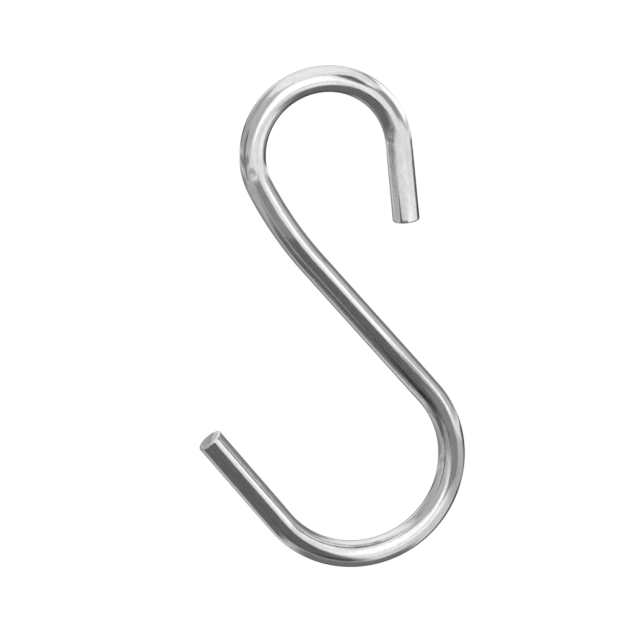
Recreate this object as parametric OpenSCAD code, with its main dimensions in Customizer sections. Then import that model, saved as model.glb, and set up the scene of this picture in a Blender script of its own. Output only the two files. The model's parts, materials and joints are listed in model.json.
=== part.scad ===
// S hook: one length of round wire bent in one plane.
// The small closed bow at the top hangs on a rail, the wide open bow below carries the load.
// The hook stands in the XZ plane with +Z up. The origin is the seat on the inside of the
// upper bow, where the rail bears, and both bows have their centres on the Z axis under it.

/* [Overall] */
// Height over the outside of both bows
hook_h = 76; // [68:1:100]

/* [Wire] */
// Diameter of the wire
wire_d = 4; // [2.5:0.1:6]
// How much thinner the wire comes out of the tight bend of a bow
bow_thinning = 0.04; // [0.02:0.01:0.2]
// Rounding at the rim of each cut end
rim_r = 0.35; // [0.1:0.05:0.9]

/* [Upper bow] */
// Inside diameter of the upper bow
upper_bow_d = 18; // [12:0.5:24]
// Straight length of the upper end, which points straight down
upper_end_l = 12; // [4:0.5:18]

/* [Shoulder] */
// Radius of the slow bend between the upper bow and the leg, to the middle of the wire
shoulder_r = 59; // [35:1:80]
// Angle that the slow bend turns through
shoulder_turn = 13.7; // [4:0.1:18]

/* [Lower bow] */
// Inside diameter of the lower bow
lower_bow_d = 25; // [16:0.5:32]
// Straight length of the lower end
lower_end_l = 17; // [5:0.5:26]
// Angle at which the lower end leans out from the vertical
lower_end_lean = 34; // [0:1:50]

/* [Hidden] */

wire_facets = 72;
bend_facets = 240;

wire_r = wire_d / 2;
bow_wire_r = (wire_d - bow_thinning) / 2;
shoulder_wire_r = (wire_r + bow_wire_r) / 2;

// Each bend runs on by this angle inside the slightly thicker piece that it meets
bend_lap = 0.1;

// Radius of each bow, to the middle of the wire
upper_r = upper_bow_d / 2 + bow_wire_r;
lower_r = lower_bow_d / 2 + bow_wire_r;

// Centres of the bows, both on the Z axis
upper_z = -upper_bow_d / 2;
centre_gap = hook_h - upper_r - lower_r - 2 * bow_wire_r;
lower_z = upper_z - centre_gap;

// The leg touches the shoulder and the lower bow, which fixes its lean and its length
shoulder_offset = shoulder_r - upper_r;
leg_lean = asin((shoulder_r + lower_r - shoulder_offset * cos(shoulder_turn)) / centre_gap);
leg_l = centre_gap * cos(leg_lean) - shoulder_offset * sin(shoulder_turn);

// Where the upper bow ends, as an angle on its circle, and where the shoulder ends
upper_bow_end = 180 + leg_lean - shoulder_turn;
shoulder_end = 180 + leg_lean;
lower_bow_start = lower_end_lean - 180;

// Centre of the shoulder, on the line from the end of the upper bow through its centre
shoulder_x = -shoulder_offset * cos(upper_bow_end);
shoulder_z = upper_z - shoulder_offset * sin(upper_bow_end);

// A bend in the XZ plane round a centre, between two angles counted from +X towards +Z
module bend(x, z, radius, section_r, from, to) {
    translate([x, 0, z])
        rotate([90, 0, 0])
            rotate([0, 0, from - bend_lap])
                rotate_extrude(angle = to - from + 2 * bend_lap, $fn = bend_facets)
                    translate([radius, 0])
                        circle(r = section_r, $fn = wire_facets);
}

// Puts a straight piece that is made along +Z at a point, leaning by an angle towards -X
module straight_at(x, z, lean) {
    translate([x, 0, z])
        rotate([0, -lean, 0])
            children();
}

// A straight end, cut square, with its rim rounded
module cut_end(length) {
    rotate_extrude($fn = wire_facets) {
        square([wire_r, length - rim_r]);
        square([wire_r - rim_r, length]);
        translate([wire_r - rim_r, length - rim_r])
            intersection() {
                circle(r = rim_r, $fn = wire_facets);
                square(rim_r);
            }
    }
}

module upper_end() {
    straight_at(upper_r, upper_z, 180)
        cut_end(upper_end_l);
}

module upper_bow() {
    bend(0, upper_z, upper_r, bow_wire_r, 0, upper_bow_end);
}

module shoulder() {
    bend(shoulder_x, shoulder_z, shoulder_r, shoulder_wire_r, upper_bow_end, shoulder_end);
}

module leg() {
    straight_at(lower_r * cos(leg_lean), lower_z + lower_r * sin(leg_lean), leg_lean)
        cylinder(r = wire_r, h = leg_l, $fn = wire_facets);
}

module lower_bow() {
    bend(0, lower_z, lower_r, bow_wire_r, lower_bow_start, leg_lean);
}

module lower_end() {
    straight_at(lower_r * cos(lower_bow_start), lower_z + lower_r * sin(lower_bow_start), lower_end_lean)
        cut_end(lower_end_l);
}

module hook() {
    color("silver")
        union() {
            upper_end();
            upper_bow();
            shoulder();
            leg();
            lower_bow();
            lower_end();
        }
}

hook();
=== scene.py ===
"""S hook: one length of bright drawn steel wire, cut to length and bent flat."""
import json
from math import asin, cos, pi, radians, sin

import bmesh
import bpy
from mathutils import Matrix, Vector, noise


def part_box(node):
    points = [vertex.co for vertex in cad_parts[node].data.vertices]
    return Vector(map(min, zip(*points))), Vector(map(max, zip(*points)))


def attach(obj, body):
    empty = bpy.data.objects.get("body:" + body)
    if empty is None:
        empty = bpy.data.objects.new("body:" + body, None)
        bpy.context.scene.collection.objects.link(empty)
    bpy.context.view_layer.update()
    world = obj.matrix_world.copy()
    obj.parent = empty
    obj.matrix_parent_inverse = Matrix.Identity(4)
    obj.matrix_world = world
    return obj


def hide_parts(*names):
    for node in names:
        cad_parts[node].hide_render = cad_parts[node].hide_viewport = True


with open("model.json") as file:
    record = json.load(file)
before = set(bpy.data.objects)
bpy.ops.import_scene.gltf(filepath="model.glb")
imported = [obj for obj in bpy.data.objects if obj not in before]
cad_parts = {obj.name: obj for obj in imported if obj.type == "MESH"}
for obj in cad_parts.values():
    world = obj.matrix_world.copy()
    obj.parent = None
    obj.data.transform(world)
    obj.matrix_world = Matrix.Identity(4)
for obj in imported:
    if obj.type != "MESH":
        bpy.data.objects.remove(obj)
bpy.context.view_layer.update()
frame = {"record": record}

MM = 0.001

# ---- Sizes of the wire and of its bends ----

mounts = {mount["name"]: mount for mount in frame["record"]["mounts"]}
hook_low, hook_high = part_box("hook")
hook_middle = (hook_low + hook_high) / 2

HOOK_HEIGHT = 76 * MM
WIRE_R = 2 * MM
BOW_WIRE_R = 1.98 * MM
RIM_R = 0.35 * MM

UPPER_END_L = 12 * MM
LOWER_END_L = 17 * MM
LOWER_END_LEAN = radians(34)
SHOULDER_R = 59 * MM
SHOULDER_TURN = radians(13.7)

UPPER_BOW_INSIDE_R = mounts["rail_seat"]["dims"]["r_mm"] * MM
LOWER_BOW_INSIDE_R = mounts["load_seat"]["dims"]["r_mm"] * MM
UPPER_BOW_R = UPPER_BOW_INSIDE_R + BOW_WIRE_R
LOWER_BOW_R = LOWER_BOW_INSIDE_R + BOW_WIRE_R

# The straight leg joins the shoulder to the lower bow, which fixes its lean and its length
centre_gap = HOOK_HEIGHT - UPPER_BOW_R - LOWER_BOW_R - 2 * BOW_WIRE_R
shoulder_offset = SHOULDER_R - UPPER_BOW_R
LEG_LEAN = asin((SHOULDER_R + LOWER_BOW_R - shoulder_offset * cos(SHOULDER_TURN)) / centre_gap)
LEG_L = centre_gap * cos(LEG_LEAN) - shoulder_offset * sin(SHOULDER_TURN)

UPPER_BOW_L = UPPER_BOW_R * (pi + LEG_LEAN - SHOULDER_TURN)
SHOULDER_L = SHOULDER_R * SHOULDER_TURN
LOWER_BOW_L = LOWER_BOW_R * (pi + LEG_LEAN - LOWER_END_LEAN)

# Each stretch of the wire, from the tip of the upper end: its length and the radius of its bend.
# Seen from the front, a bend to the left has a positive radius and a bend to the right a negative one.
STRETCHES = [
    (UPPER_END_L, None),
    (UPPER_BOW_L, UPPER_BOW_R),
    (SHOULDER_L, SHOULDER_R),
    (LEG_L, None),
    (LOWER_BOW_L, -LOWER_BOW_R),
    (LOWER_END_L, None),
]
WIRE_L = sum(length for length, bend_r in STRETCHES)
UPPER_BOW_START = UPPER_END_L
UPPER_BOW_END = UPPER_BOW_START + UPPER_BOW_L
LOWER_BOW_START = UPPER_BOW_END + SHOULDER_L + LEG_L
LOWER_BOW_END = LOWER_BOW_START + LOWER_BOW_L

# The skin lies this much inside the wire's full size, and the wire thins over this length before a bow
SKIN_INSET = 0.012 * MM
THINNING_L = 2.5 * MM

# Flats that the bending tool pressed into the wire: where its edge bit, the side that faced it,
# length and depth. A flat starts sharply at the tool's edge and runs out towards the lower end,
# or towards the upper end where its length is negative. A side is given across the straight wire:
# -Y is the hook's front, -X the inside of the upper bow and +X the inside of the lower bow.
TOOL_FLATS = [
    (UPPER_BOW_START + 0.3 * MM, Vector((-0.72, -0.69)), 5.0 * MM, 0.10 * MM),
    (UPPER_BOW_START + 3.4 * MM, Vector((-0.50, -0.87)), -2.0 * MM, 0.05 * MM),
    (UPPER_BOW_END - 1.9 * MM, Vector((0.74, -0.67)), 5.5 * MM, 0.12 * MM),
    (UPPER_BOW_END - 2.1 * MM, Vector((0.36, -0.93)), -2.0 * MM, 0.10 * MM),
    (LOWER_BOW_START + 0.5 * MM, Vector((0.80, -0.60)), 4.0 * MM, 0.03 * MM),
    (LOWER_BOW_END - 0.5 * MM, Vector((0.60, -0.80)), -4.0 * MM, 0.03 * MM),
]

# A flat sinks in over the width of the tool's edge, and starts to run out at this part of its length
TOOL_EDGE = 0.7 * MM
RUN_OUT_START = 0.2

# Cut ends. The shear's blade enters at one side of the wire and leaves a smooth lip there.
# Past the tear, the wire breaks off: that part is sunk deeper and rough with grain.
# The tear's place and width and the edge's width are parts of the flat face's radius.
BLADE_X = 0.8
BLADE_Y = -0.6
TEAR_PLACE = 0.35
TEAR_W = 0.5
SUNK_EDGE_W = 0.25
LIP_SINK = 0.05 * MM
BROKEN_SINK = 0.09 * MM
BROKEN_ROUGHNESS = 0.035 * MM
COARSE_GRAIN = 0.32 * MM
FINE_GRAIN = 0.15 * MM
FINE_GRAIN_SHARE = 0.5

# Mesh of the wire: sides round it, steps along it, steps round a rim, and the rings of its cut ends
SIDES = 96
STEP = 0.3 * MM
RIM_STEPS = 6
END_RINGS = 5
END_RING_W = 0.28 * MM

# The material slot of the cut ends
CUT_END_SLOT = 1


# ---- The wire, cut to length and then bent ----

def ease(value):
    """0 below 0, 1 above 1, and a soft step between them."""
    value = min(max(value, 0), 1)
    return value * value * (3 - 2 * value)


def is_lengthwise(edge):
    return abs(edge.verts[0].co.z - edge.verts[1].co.z) > WIRE_L / 2


def straight_wire():
    """The wire as it was cut: standing on its first end, with the rims rounded."""
    wire = bmesh.new()
    radius = WIRE_R - SKIN_INSET
    bmesh.ops.create_cone(
        wire, cap_ends=True, segments=SIDES, radius1=radius, radius2=radius, depth=WIRE_L,
    )
    bmesh.ops.translate(wire, vec=(0, 0, WIRE_L / 2), verts=wire.verts)
    rims = [edge for edge in wire.edges if not is_lengthwise(edge)]
    bmesh.ops.bevel(
        wire, geom=rims, offset=RIM_R, offset_type="OFFSET", segments=RIM_STEPS, profile=0.5,
        affect="EDGES", material=-1,
    )
    lengthwise = [edge for edge in wire.edges if is_lengthwise(edge)]
    bmesh.ops.subdivide_edges(wire, edges=lengthwise, cuts=round(WIRE_L / STEP), use_grid_fill=True)
    return wire


def shear_ends(wire):
    """The cut faces: a smooth lip where the shear's blade entered, and a rough, sunk face beyond it."""
    ends = [face for face in wire.faces if len(face.verts) == SIDES]
    for end in ends:
        for ring in range(END_RINGS):
            rim = bmesh.ops.inset_region(wire, faces=[end], thickness=END_RING_W, use_even_offset=True)
            for face in rim["faces"]:
                face.material_index = CUT_END_SLOT
    middle = bmesh.ops.poke(wire, faces=ends)
    for face in middle["faces"]:
        face.material_index = CUT_END_SLOT
    cut_faces = [face for face in wire.faces if face.material_index == CUT_END_SLOT]
    cut = {corner for face in cut_faces for corner in face.verts}
    flat_r = WIRE_R - SKIN_INSET - RIM_R
    for corner in cut:
        x, y, z = corner.co
        off_rim = 1 - Vector((x, y)).length / flat_r
        entry = (BLADE_X * x + BLADE_Y * y) / flat_r
        broken = ease((TEAR_PLACE - entry) / TEAR_W)
        grain = noise.noise(Vector((x, y, z)) / COARSE_GRAIN)
        grain += FINE_GRAIN_SHARE * noise.noise(Vector((y, x, z)) / FINE_GRAIN)
        sink = LIP_SINK + broken * (BROKEN_SINK + BROKEN_ROUGHNESS * grain)
        sink *= ease(off_rim / SUNK_EDGE_W)
        corner.co.z += sink if z < WIRE_L / 2 else -sink


def wire_radius(along):
    """Full size on the straight stretches, a little thinner round the bows."""
    bows = [(UPPER_BOW_START, UPPER_BOW_END), (LOWER_BOW_START, LOWER_BOW_END)]
    nearest = min(max(start - along, along - end, 0) for start, end in bows)
    return BOW_WIRE_R + (WIRE_R - BOW_WIRE_R) * ease(nearest / THINNING_L)


def form_skin(wire):
    """Thins the wire at its bows and presses the tool's flats into it, while it is still straight."""
    for corner in wire.verts:
        x, y, along = corner.co
        across = Vector((x, y)) * wire_radius(along) / WIRE_R
        for place, side, length, depth in TOOL_FLATS:
            past = (along - place) / length
            bitten = ease(past * abs(length) / TOOL_EDGE)
            reach = min(bitten, ease((1 - past) / (1 - RUN_OUT_START)))
            if reach > 0:
                side = side.normalized()
                too_far = across.dot(side) - (wire_radius(along) - SKIN_INSET - depth * reach)
                across -= side * max(too_far, 0)
        corner.co.x, corner.co.y = across


def move_along(length, bend_r):
    """The move of the wire's own axes by a length along a straight stretch or a bend."""
    if bend_r is None:
        return Matrix.Translation((0, 0, length))
    centre = Vector((-bend_r, 0, 0))
    turn = Matrix.Rotation(-length / bend_r, 4, "Y")
    return Matrix.Translation(centre) @ turn @ Matrix.Translation(-centre)


def bend_stops():
    """Where each stretch starts along the wire, the place of the wire's own axes there, and its bend.

    Z runs along the wire and X lies in the hook's plane.
    """
    place = Matrix.Translation((UPPER_BOW_R, 0, -UPPER_BOW_INSIDE_R - UPPER_END_L))
    along = 0
    stops = []
    for length, bend_r in STRETCHES:
        stops.append((along, place.copy(), bend_r))
        place = place @ move_along(length, bend_r)
        along += length
    return stops


def bend(wire):
    """Bends the straight wire into the hook.

    Each corner keeps where it was on the straight wire, so that the marks of drawing follow the bends.
    """
    on_straight = wire.verts.layers.float_vector.new("on_straight_wire")
    stops = bend_stops()
    for corner in wire.verts:
        corner[on_straight] = corner.co
        start, place, bend_r = [stop for stop in stops if stop[0] <= max(corner.co.z, 0)][-1]
        off_middle = Vector((corner.co.x, corner.co.y, 0))
        corner.co = place @ move_along(corner.co.z - start, bend_r) @ off_middle


def hook_piece():
    """The finished wire. Its normals are set while it is straight, where inside and outside are plain."""
    wire = straight_wire()
    shear_ends(wire)
    form_skin(wire)
    bmesh.ops.recalc_face_normals(wire, faces=wire.faces)
    bend(wire)
    for face in wire.faces:
        face.smooth = True
    mesh = bpy.data.meshes.new("bent_wire")
    wire.to_mesh(mesh)
    wire.free()
    piece = bpy.data.objects.new("bent_wire", mesh)
    bpy.context.scene.collection.objects.link(piece)
    return piece


# ---- Making materials ----

def feed(tree, socket, value):
    """Sets a socket to a value, or links it to the output that feeds it."""
    if isinstance(value, bpy.types.NodeSocket):
        tree.links.new(value, socket)
    else:
        socket.default_value = value


def add(tree, kind, settings=None, **inputs):
    """A node with its settings, and with its inputs by name, where an underscore stands for a space."""
    node = tree.nodes.new(kind)
    for name, value in (settings or {}).items():
        setattr(node, name, value)
    for name, value in inputs.items():
        feed(tree, node.inputs[name.replace("_", " ")], value)
    return node


def add_in_order(tree, kind, settings, *values):
    """The first output of a node whose inputs are given in order."""
    node = add(tree, kind, settings)
    for socket, value in zip(node.inputs, values):
        feed(tree, socket, value)
    return node.outputs[0]


def maths(tree, operation, *values):
    return add_in_order(tree, "ShaderNodeMath", {"operation": operation}, *values)


def sum_of(tree, start, *shares):
    """A start value plus a share of each pattern, given as pairs of pattern and share."""
    total = start
    for pattern, share in shares:
        total = maths(tree, "MULTIPLY_ADD", pattern, share, total)
    return total


def soft_step(tree, value, low, high, start=0.0, end=1.0):
    """Goes softly from start to end as the value goes from low to high. Low may be the larger one."""
    step = add(
        tree, "ShaderNodeMapRange", {"interpolation_type": "SMOOTHSTEP"},
        Value=value, From_Min=low, From_Max=high, To_Min=start, To_Max=end,
    )
    return step.outputs["Result"]


# ---- Finish ----

# How squarely the skin faces the tool where its rub begins and where it is full, as cosines,
# and how deep a flat has to be for a full rub
RUB_EDGE = 0.86
RUB_MIDDLE = 0.99
FULL_RUB_DEPTH = 0.04 * MM

# How closely the blade's scores lie on a cut end, and how fast they change along their length,
# both as changes per millimetre
SCORES_APART = 9.0
SCORES_CHANGE = 0.8

LINE_RELIEF = 0.0012 * MM
CUT_RELIEF = 0.008 * MM


def place_on_wire(tree):
    """Where a point was on the straight wire, in millimetres."""
    place = add(tree, "ShaderNodeAttribute", {"attribute_name": "on_straight_wire"})
    in_mm = add(
        tree, "ShaderNodeVectorMath", {"operation": "SCALE"},
        Vector=place.outputs["Vector"], Scale=1 / MM,
    )
    return in_mm.outputs[0]


def grain_group():
    """Grain that can be drawn out along the wire. Width and Length are one grain's, in millimetres."""
    tree = bpy.data.node_groups.new("metal_grain", "ShaderNodeTree")
    for label, value in (("Width", 0.2), ("Length", 0.2), ("Detail", 2.0)):
        socket = tree.interface.new_socket(label, in_out="INPUT", socket_type="NodeSocketFloat")
        socket.default_value = value
    tree.interface.new_socket("Grain", in_out="OUTPUT", socket_type="NodeSocketFloat")
    width, length, detail = tree.nodes.new("NodeGroupInput").outputs[:3]
    size = add(tree, "ShaderNodeCombineXYZ", X=width, Y=width, Z=length)
    scaled = add_in_order(
        tree, "ShaderNodeVectorMath", {"operation": "DIVIDE"}, place_on_wire(tree), size.outputs[0],
    )
    grain = add(tree, "ShaderNodeTexNoise", Vector=scaled, Scale=1.0, Detail=detail)
    add(tree, "NodeGroupOutput", Grain=soft_step(tree, grain.outputs["Fac"], low=0.25, high=0.75))
    return tree


def grains(tree, group, width, length, detail):
    """Grain of one size, in millimetres."""
    node = add(tree, "ShaderNodeGroup", {"node_tree": group}, Width=width, Length=length, Detail=detail)
    return node.outputs["Grain"]


def tool_rub(tree, grain):
    """1 where the bending tool rubbed the wire, broken up by grain, and 0 elsewhere."""
    x, y, z = add(tree, "ShaderNodeSeparateXYZ", Vector=place_on_wire(tree)).outputs
    rubbed = 0.0
    for along, side, length, depth in TOOL_FLATS:
        side = side.normalized() / (WIRE_R / MM)
        facing_tool = sum_of(tree, 0.0, (x, side.x), (y, side.y))
        beside = soft_step(tree, facing_tool, RUB_EDGE, RUB_MIDDLE)
        past = maths(tree, "DIVIDE", maths(tree, "SUBTRACT", z, along / MM), length / MM)
        bitten = soft_step(tree, past, 0, TOOL_EDGE / abs(length))
        near = maths(tree, "MINIMUM", bitten, soft_step(tree, past, 1, RUN_OUT_START))
        strength = maths(tree, "MULTIPLY", near, min(depth / FULL_RUB_DEPTH, 1))
        rubbed = maths(tree, "MAXIMUM", rubbed, maths(tree, "MULTIPLY", beside, strength))
    patches = grains(tree, grain, width=0.28, length=0.7, detail=3)
    patchy = soft_step(tree, patches, low=0.2, high=0.75, start=0.25)
    return maths(tree, "MULTIPLY", patchy, rubbed)


def grey_between(tree, factor, dark, light):
    blend = add(
        tree, "ShaderNodeMix", {"data_type": "RGBA"},
        Factor=factor, A=(dark, dark, dark, 1), B=(light, light, light, 1),
    )
    return blend.outputs["Result"]


def new_steel(name):
    """A steel without its finish: the material, its node tree and its Principled node."""
    material = bpy.data.materials.new(name)
    material.use_nodes = True
    tree = material.node_tree
    steel = tree.nodes["Principled BSDF"]
    steel.inputs["Metallic"].default_value = 1
    return material, tree, steel


def lay_on(tree, steel, colour, roughness, relief, depth):
    """Gives the steel its colour, its roughness and a fine relief of the given depth."""
    bump = add(tree, "ShaderNodeBump", Strength=1.0, Distance=depth, Height=relief)
    tree.links.new(colour, steel.inputs["Base Color"])
    tree.links.new(roughness, steel.inputs["Roughness"])
    tree.links.new(bump.outputs["Normal"], steel.inputs["Normal"])


def bright_wire(grain):
    """Bright drawn steel: fine lines along the wire, a faint mottle, rubbed where it was bent."""
    material, tree, steel = new_steel("bright_wire")
    lines = grains(tree, grain, width=0.16, length=14, detail=3)
    streaks = grains(tree, grain, width=0.55, length=30, detail=2)
    cloud = grains(tree, grain, width=1.1, length=5, detail=3)
    mottle = grains(tree, grain, width=0.5, length=1.3, detail=3)
    specks = grains(tree, grain, width=0.12, length=0.5, detail=2)
    pits = soft_step(tree, specks, low=0.72, high=0.95)
    rub = tool_rub(tree, grain)

    tone = sum_of(tree, 0.47, (cloud, 0.18), (lines, 0.12), (streaks, 0.12), (mottle, 0.18))
    pitted = maths(tree, "MULTIPLY", pits, 0.35)
    marred = maths(tree, "MAXIMUM", pitted, maths(tree, "MULTIPLY", rub, 0.8))
    clean = maths(tree, "MULTIPLY", tone, maths(tree, "SUBTRACT", 1.0, marred))
    colour = grey_between(tree, clean, dark=0.40, light=0.82)
    roughness = sum_of(tree, 0.11, (lines, 0.05), (mottle, 0.05), (pits, 0.06), (rub, 0.2))
    relief = sum_of(tree, lines, (streaks, 1.6), (cloud, 2.8), (mottle, 0.7), (rub, -2.5))
    lay_on(tree, steel, colour, roughness, relief, LINE_RELIEF)
    return material


def cut_end(grain):
    """The sheared end: smooth with fine scores where the blade entered, dull and torn beyond it."""
    material, tree, steel = new_steel("cut_end")
    fine = grains(tree, grain, width=0.16, length=0.16, detail=4)
    coarse = grains(tree, grain, width=0.5, length=0.5, detail=2)
    x, y = add(tree, "ShaderNodeSeparateXYZ", Vector=place_on_wire(tree)).outputs[:2]
    entry = sum_of(tree, 0.0, (x, BLADE_X), (y, BLADE_Y))
    along_blade = sum_of(tree, 0.0, (x, -BLADE_Y), (y, BLADE_X))
    broken = soft_step(tree, sum_of(tree, entry, (coarse, 0.7)), low=1.0, high=0.5)
    across_scores = maths(tree, "MULTIPLY", along_blade, SCORES_APART)
    along_scores = maths(tree, "MULTIPLY", entry, SCORES_CHANGE)
    score_place = add(tree, "ShaderNodeCombineXYZ", X=across_scores, Y=along_scores)
    score_noise = add(tree, "ShaderNodeTexNoise", Vector=score_place.outputs[0], Scale=1.0, Detail=1.0)
    scores = score_noise.outputs["Fac"]

    torn = maths(tree, "MULTIPLY", fine, broken)
    tone = sum_of(tree, 0.6, (scores, 0.4), (broken, -0.3), (torn, -0.5))
    colour = grey_between(tree, tone, dark=0.34, light=0.80)
    roughness = sum_of(tree, 0.24, (broken, 0.22))
    relief = sum_of(tree, scores, (torn, 4.0))
    lay_on(tree, steel, colour, roughness, relief, CUT_RELIEF)
    return material


# ---- Stage ----

# The hook hangs above a pale floor in a pale room. To the camera and in the metal,
# the floor looks lighter by its lift, and the room is white.
FLOOR_DROP = 30 * MM
FLOOR_W = 12
FLOOR_GREY = 0.8
FLOOR_LIFT = 0.45
ROOM_LIGHT = 0.7
ROOM_WHITE = 1.0

# Bright wire mirrors what stands round it. Glowing cards, mats and flags give it its light and dark bands.

# Large cards round the hook's middle, in metres: name, azimuth, elevation, width, height, brightness.
# Each stands a step nearer than the one before it and covers that one where they cross.
FIRST_CARD_DISTANCE = 0.98
CARD_STEP = 0.02
CARDS = [
    ("top_card", 0, 90, 1.75, 1.75, 1.1),
    ("left_back_card", -115, 24, 1.4, 1.3, 0.5),
    ("left_front_card", -52, 24, 1.35, 1.25, 0.58),
    ("right_high_card", 62, 44, 0.9, 0.68, 0.95),
    ("right_back_card", 122, 16, 0.8, 0.8, 0.25),
    ("right_card", 84, 12, 0.78, 0.7, 0.62),
    ("low_back_card", 180, 2, 1.65, 0.33, 0.05),
    ("low_right_back_card", 142, 4, 0.5, 0.4, 0.25),
    ("front_card", -2, 12, 0.7, 1.1, 1.45),
    ("strip_card", 54, 15, 0.40, 0.58, 1.45),
]

# Mats on the floor, in millimetres from below the hook's middle: name, x, y, width, depth, brightness.
# Each lies a step higher than the one before it.
FIRST_MAT_LIFT = 1.0
MAT_STEP = 0.3
MATS = [
    ("far_mat", 0, 0, 3000, 3000, 1.0),
    ("far_left_mat", -590, 0, 700, 1400, 0.25),
    ("left_mat", -150, -40, 260, 420, 0.6),
    ("right_mat", 140, -50, 240, 360, 0.55),
    ("back_mat", 60, 200, 700, 380, 0.3),
    ("right_back_mat", 220, 180, 420, 290, 0.08),
    ("front_far_mat", 60, -430, 760, 540, 0.98),
    ("front_left_mat", -80, -150, 120, 240, 0.42),
    ("front_right_mat", 35, -145, 46, 210, 1.2),
    ("front_middle_mat", -9, -172, 62, 170, 0.06),
    ("near_middle_mat", -12, -54, 54, 96, 0.03),
    ("near_left_mat", -58, -22, 80, 100, 0.14),
    ("near_right_mat", 38, -28, 52, 68, 0.78),
    ("under_back_mat", 30, 46, 110, 80, 0.04),
    ("under_mat", 3, 2, 58, 40, 0.2),
]

# Dark strips in front of the wire, in millimetres:
# name, x, z, width, length, lean in degrees, brightness, distance in front of the wire's middle
FLAGS = [
    ("leg_flag", 2.8, -38.1, 17, 42, 40.5, 0.13, 12),
    ("end_flag", -16.3, -63.5, 17, 42, 34, 0.13, 12),
    ("bow_flag", 18, -56.5, 13, 20, 3, 0.27, 11.5),
    ("shoulder_flag", -9.9, -18.0, 7.5, 12.5, 23, 0.3, 7),
]

# Small cards close to the wire, in millimetres:
# name, place that it faces, azimuth, elevation, width, height, brightness, distance, softness
SMALL_CARDS = [
    ("crown_card", (9, 0, -4), 112, 16, 26, 20, 1.4, 18, 0.4),
    ("crown_flag", (9, 0, -4), 53, 14, 14, 16, 0.35, 16, 0.4),
    ("crown_shelf", (3.1, -5.5, 0), 0, -90, 7.3, 18, 0.16, 9, 0.35),
    ("gap_flag", (5, 0, 1), 30, 26, 15, 24, 0.08, 30, 0.4),
    ("right_shelf", (42, -38, -25), 0, -90, 50, 58, 1.2, 10, 0.3),
    ("leg_end_flag", (11, 0, -45), 40, 4, 13, 15, 0.45, 26, 0.4),
    ("left_bow_flag", (-13, 0, -9), -80, -2, 11, 32, 0.2, 22, 0.4),
]

# How much of a sheet's half fades out at its edges
SOFT_EDGE = 0.4
FLAG_EDGE = 0.25

# Camera: direction and roll in degrees, lens and sensor in millimetres, width seen at the hook,
# and nearest distance seen
VIEW_AZIMUTH = -10.7
VIEW_ELEVATION = 14.2
VIEW_ROLL = 5.55
LENS = 950
SENSOR = 36
VIEW_W = 94 * MM
NEAREST_SEEN = 10 * MM


def towards(azimuth, elevation):
    """Unit vector: azimuth in degrees from the hook's front towards its right, elevation above level."""
    a, e = radians(azimuth), radians(elevation)
    return Vector((sin(a) * cos(e), -cos(a) * cos(e), sin(e)))


def facing(direction):
    """The turn that points Z in a direction and keeps Y as upright as that allows."""
    return direction.to_track_quat("Z", "Y").to_matrix().to_4x4()


def seen_or_mirrored(tree):
    """1 for the camera's rays and for those that leave metal or glass, 0 for all others."""
    rays = tree.nodes.new("ShaderNodeLightPath").outputs
    mirrored = maths(tree, "MAXIMUM", rays["Is Glossy Ray"], rays["Is Transmission Ray"])
    return maths(tree, "MAXIMUM", rays["Is Camera Ray"], mirrored)


def bare_material(name):
    """A material with an empty node tree."""
    material = bpy.data.materials.new(name)
    material.use_nodes = True
    material.node_tree.nodes.clear()
    return material, material.node_tree


def staged_sheet(name, width, height, material):
    """A flat sheet, facing up."""
    maker = bmesh.new()
    bmesh.ops.create_grid(maker, x_segments=1, y_segments=1, size=0.5)
    bmesh.ops.scale(maker, vec=(width, height, 1), verts=maker.verts)
    mesh = bpy.data.meshes.new(name)
    maker.to_mesh(mesh)
    maker.free()
    mesh.materials.append(material)
    obj = bpy.data.objects.new(name, mesh)
    bpy.context.scene.collection.objects.link(obj)
    return obj


def soft_paper(name, width, height, brightness, softness):
    """Glowing paper that fades to nothing at its edges."""
    material, tree = bare_material(name)
    place = tree.nodes.new("ShaderNodeTexCoord").outputs["Object"]
    across = add(tree, "ShaderNodeSeparateXYZ", Vector=place).outputs
    fades = []
    for axis, size in (("X", width), ("Y", height)):
        off_middle = maths(tree, "ABSOLUTE", across[axis])
        fades.append(soft_step(tree, off_middle, size / 2, size / 2 * (1 - softness)))
    paper = maths(tree, "MULTIPLY", *fades)
    nothing = tree.nodes.new("ShaderNodeBsdfTransparent").outputs[0]
    glow = add(tree, "ShaderNodeEmission", Strength=brightness).outputs[0]
    both = add_in_order(tree, "ShaderNodeMixShader", None, paper, nothing, glow)
    add(tree, "ShaderNodeOutputMaterial", Surface=both)
    return material


def glowing_sheet(name, place, width, height, brightness, softness=SOFT_EDGE):
    """A sheet at a place, in metres. The metal shows it, and nothing else does."""
    paper = soft_paper(name, width, height, brightness, softness)
    obj = staged_sheet(name, width, height, paper)
    obj.matrix_world = place
    obj.visible_camera = False
    obj.visible_diffuse = False
    obj.visible_shadow = False
    obj.visible_transmission = False


def large_cards():
    for step, (name, azimuth, elevation, width, height, brightness) in enumerate(CARDS):
        direction = towards(azimuth, elevation)
        away = direction * (FIRST_CARD_DISTANCE - step * CARD_STEP)
        place = Matrix.Translation(hook_middle + away) @ facing(direction)
        glowing_sheet(name, place, width, height, brightness)


def floor_mats():
    for step, (name, x, y, width, depth, brightness) in enumerate(MATS):
        lift = (FIRST_MAT_LIFT + step * MAT_STEP) * MM
        place = Matrix.Translation((hook_middle.x + x * MM, y * MM, hook_low.z - FLOOR_DROP + lift))
        glowing_sheet(name, place, width * MM, depth * MM, brightness)


def wire_flags():
    for name, x, z, width, length, lean, brightness, distance in FLAGS:
        upright = Matrix.Translation((x * MM, -distance * MM, z * MM)) @ facing(towards(0, 0))
        place = upright @ Matrix.Rotation(radians(lean), 4, "Z")
        glowing_sheet(name, place, width * MM, length * MM, brightness, FLAG_EDGE)


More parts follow.
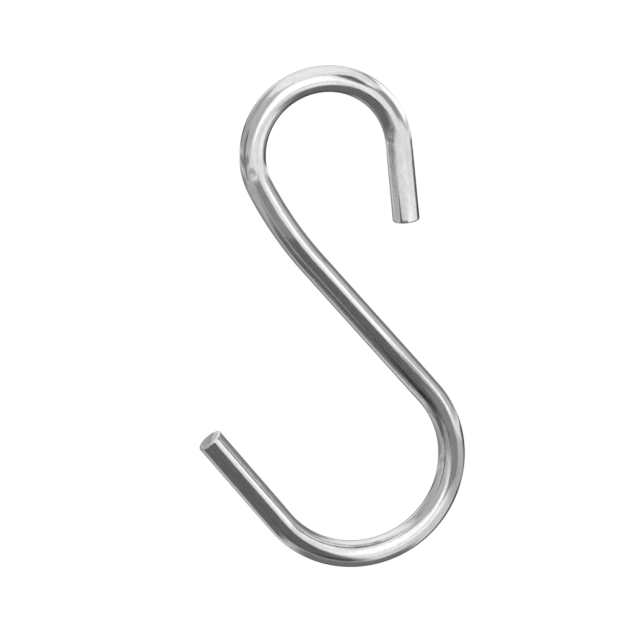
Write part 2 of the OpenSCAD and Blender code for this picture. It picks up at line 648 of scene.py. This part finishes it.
def small_cards():
    for name, middle, azimuth, elevation, width, height, brightness, distance, softness in SMALL_CARDS:
        direction = towards(azimuth, elevation)
        stand = Vector(middle) * MM + direction * distance * MM
        place = Matrix.Translation(stand) @ facing(direction)
        glowing_sheet(name, place, width * MM, height * MM, brightness, softness)


def pale_floor():
    material, tree = bare_material("pale_floor")
    paint = add(tree, "ShaderNodeBsdfDiffuse", Color=(FLOOR_GREY, FLOOR_GREY, FLOOR_GREY, 1)).outputs[0]
    lift = maths(tree, "MULTIPLY", seen_or_mirrored(tree), FLOOR_LIFT)
    white = add(tree, "ShaderNodeEmission", Strength=lift).outputs[0]
    both = add_in_order(tree, "ShaderNodeAddShader", None, paint, white)
    add(tree, "ShaderNodeOutputMaterial", Surface=both)
    floor = staged_sheet("floor", FLOOR_W, FLOOR_W, material)
    floor.location.z = hook_low.z - FLOOR_DROP


def white_room():
    """The soft light that comes from all sides, and the white background."""
    room = bpy.data.worlds.new("white_room")
    bpy.context.scene.world = room
    room.use_nodes = True
    tree = room.node_tree
    level = add(
        tree, "ShaderNodeMapRange",
        Value=seen_or_mirrored(tree), To_Min=ROOM_LIGHT, To_Max=ROOM_WHITE,
    )
    background = tree.nodes["Background"]
    background.inputs["Color"].default_value = (1, 1, 1, 1)
    tree.links.new(level.outputs["Result"], background.inputs["Strength"])


def camera():
    data = bpy.data.cameras.new("camera")
    data.lens = LENS
    data.sensor_width = SENSOR
    data.clip_start = NEAREST_SEEN
    obj = bpy.data.objects.new("camera", data)
    bpy.context.scene.collection.objects.link(obj)
    direction = towards(VIEW_AZIMUTH, VIEW_ELEVATION)
    distance = VIEW_W * LENS / SENSOR
    stand = Matrix.Translation(hook_middle + direction * distance)
    obj.matrix_world = stand @ facing(direction) @ Matrix.Rotation(radians(-VIEW_ROLL), 4, "Z")
    bpy.context.scene.camera = obj


piece = hook_piece()
grain = grain_group()
piece.data.materials.append(bright_wire(grain))
piece.data.materials.append(cut_end(grain))
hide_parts("hook")
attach(piece, "root")

white_room()
pale_floor()
large_cards()
floor_mats()
wire_flags()
small_cards()
camera()

scene = bpy.context.scene
scene.view_settings.view_transform = "Standard"
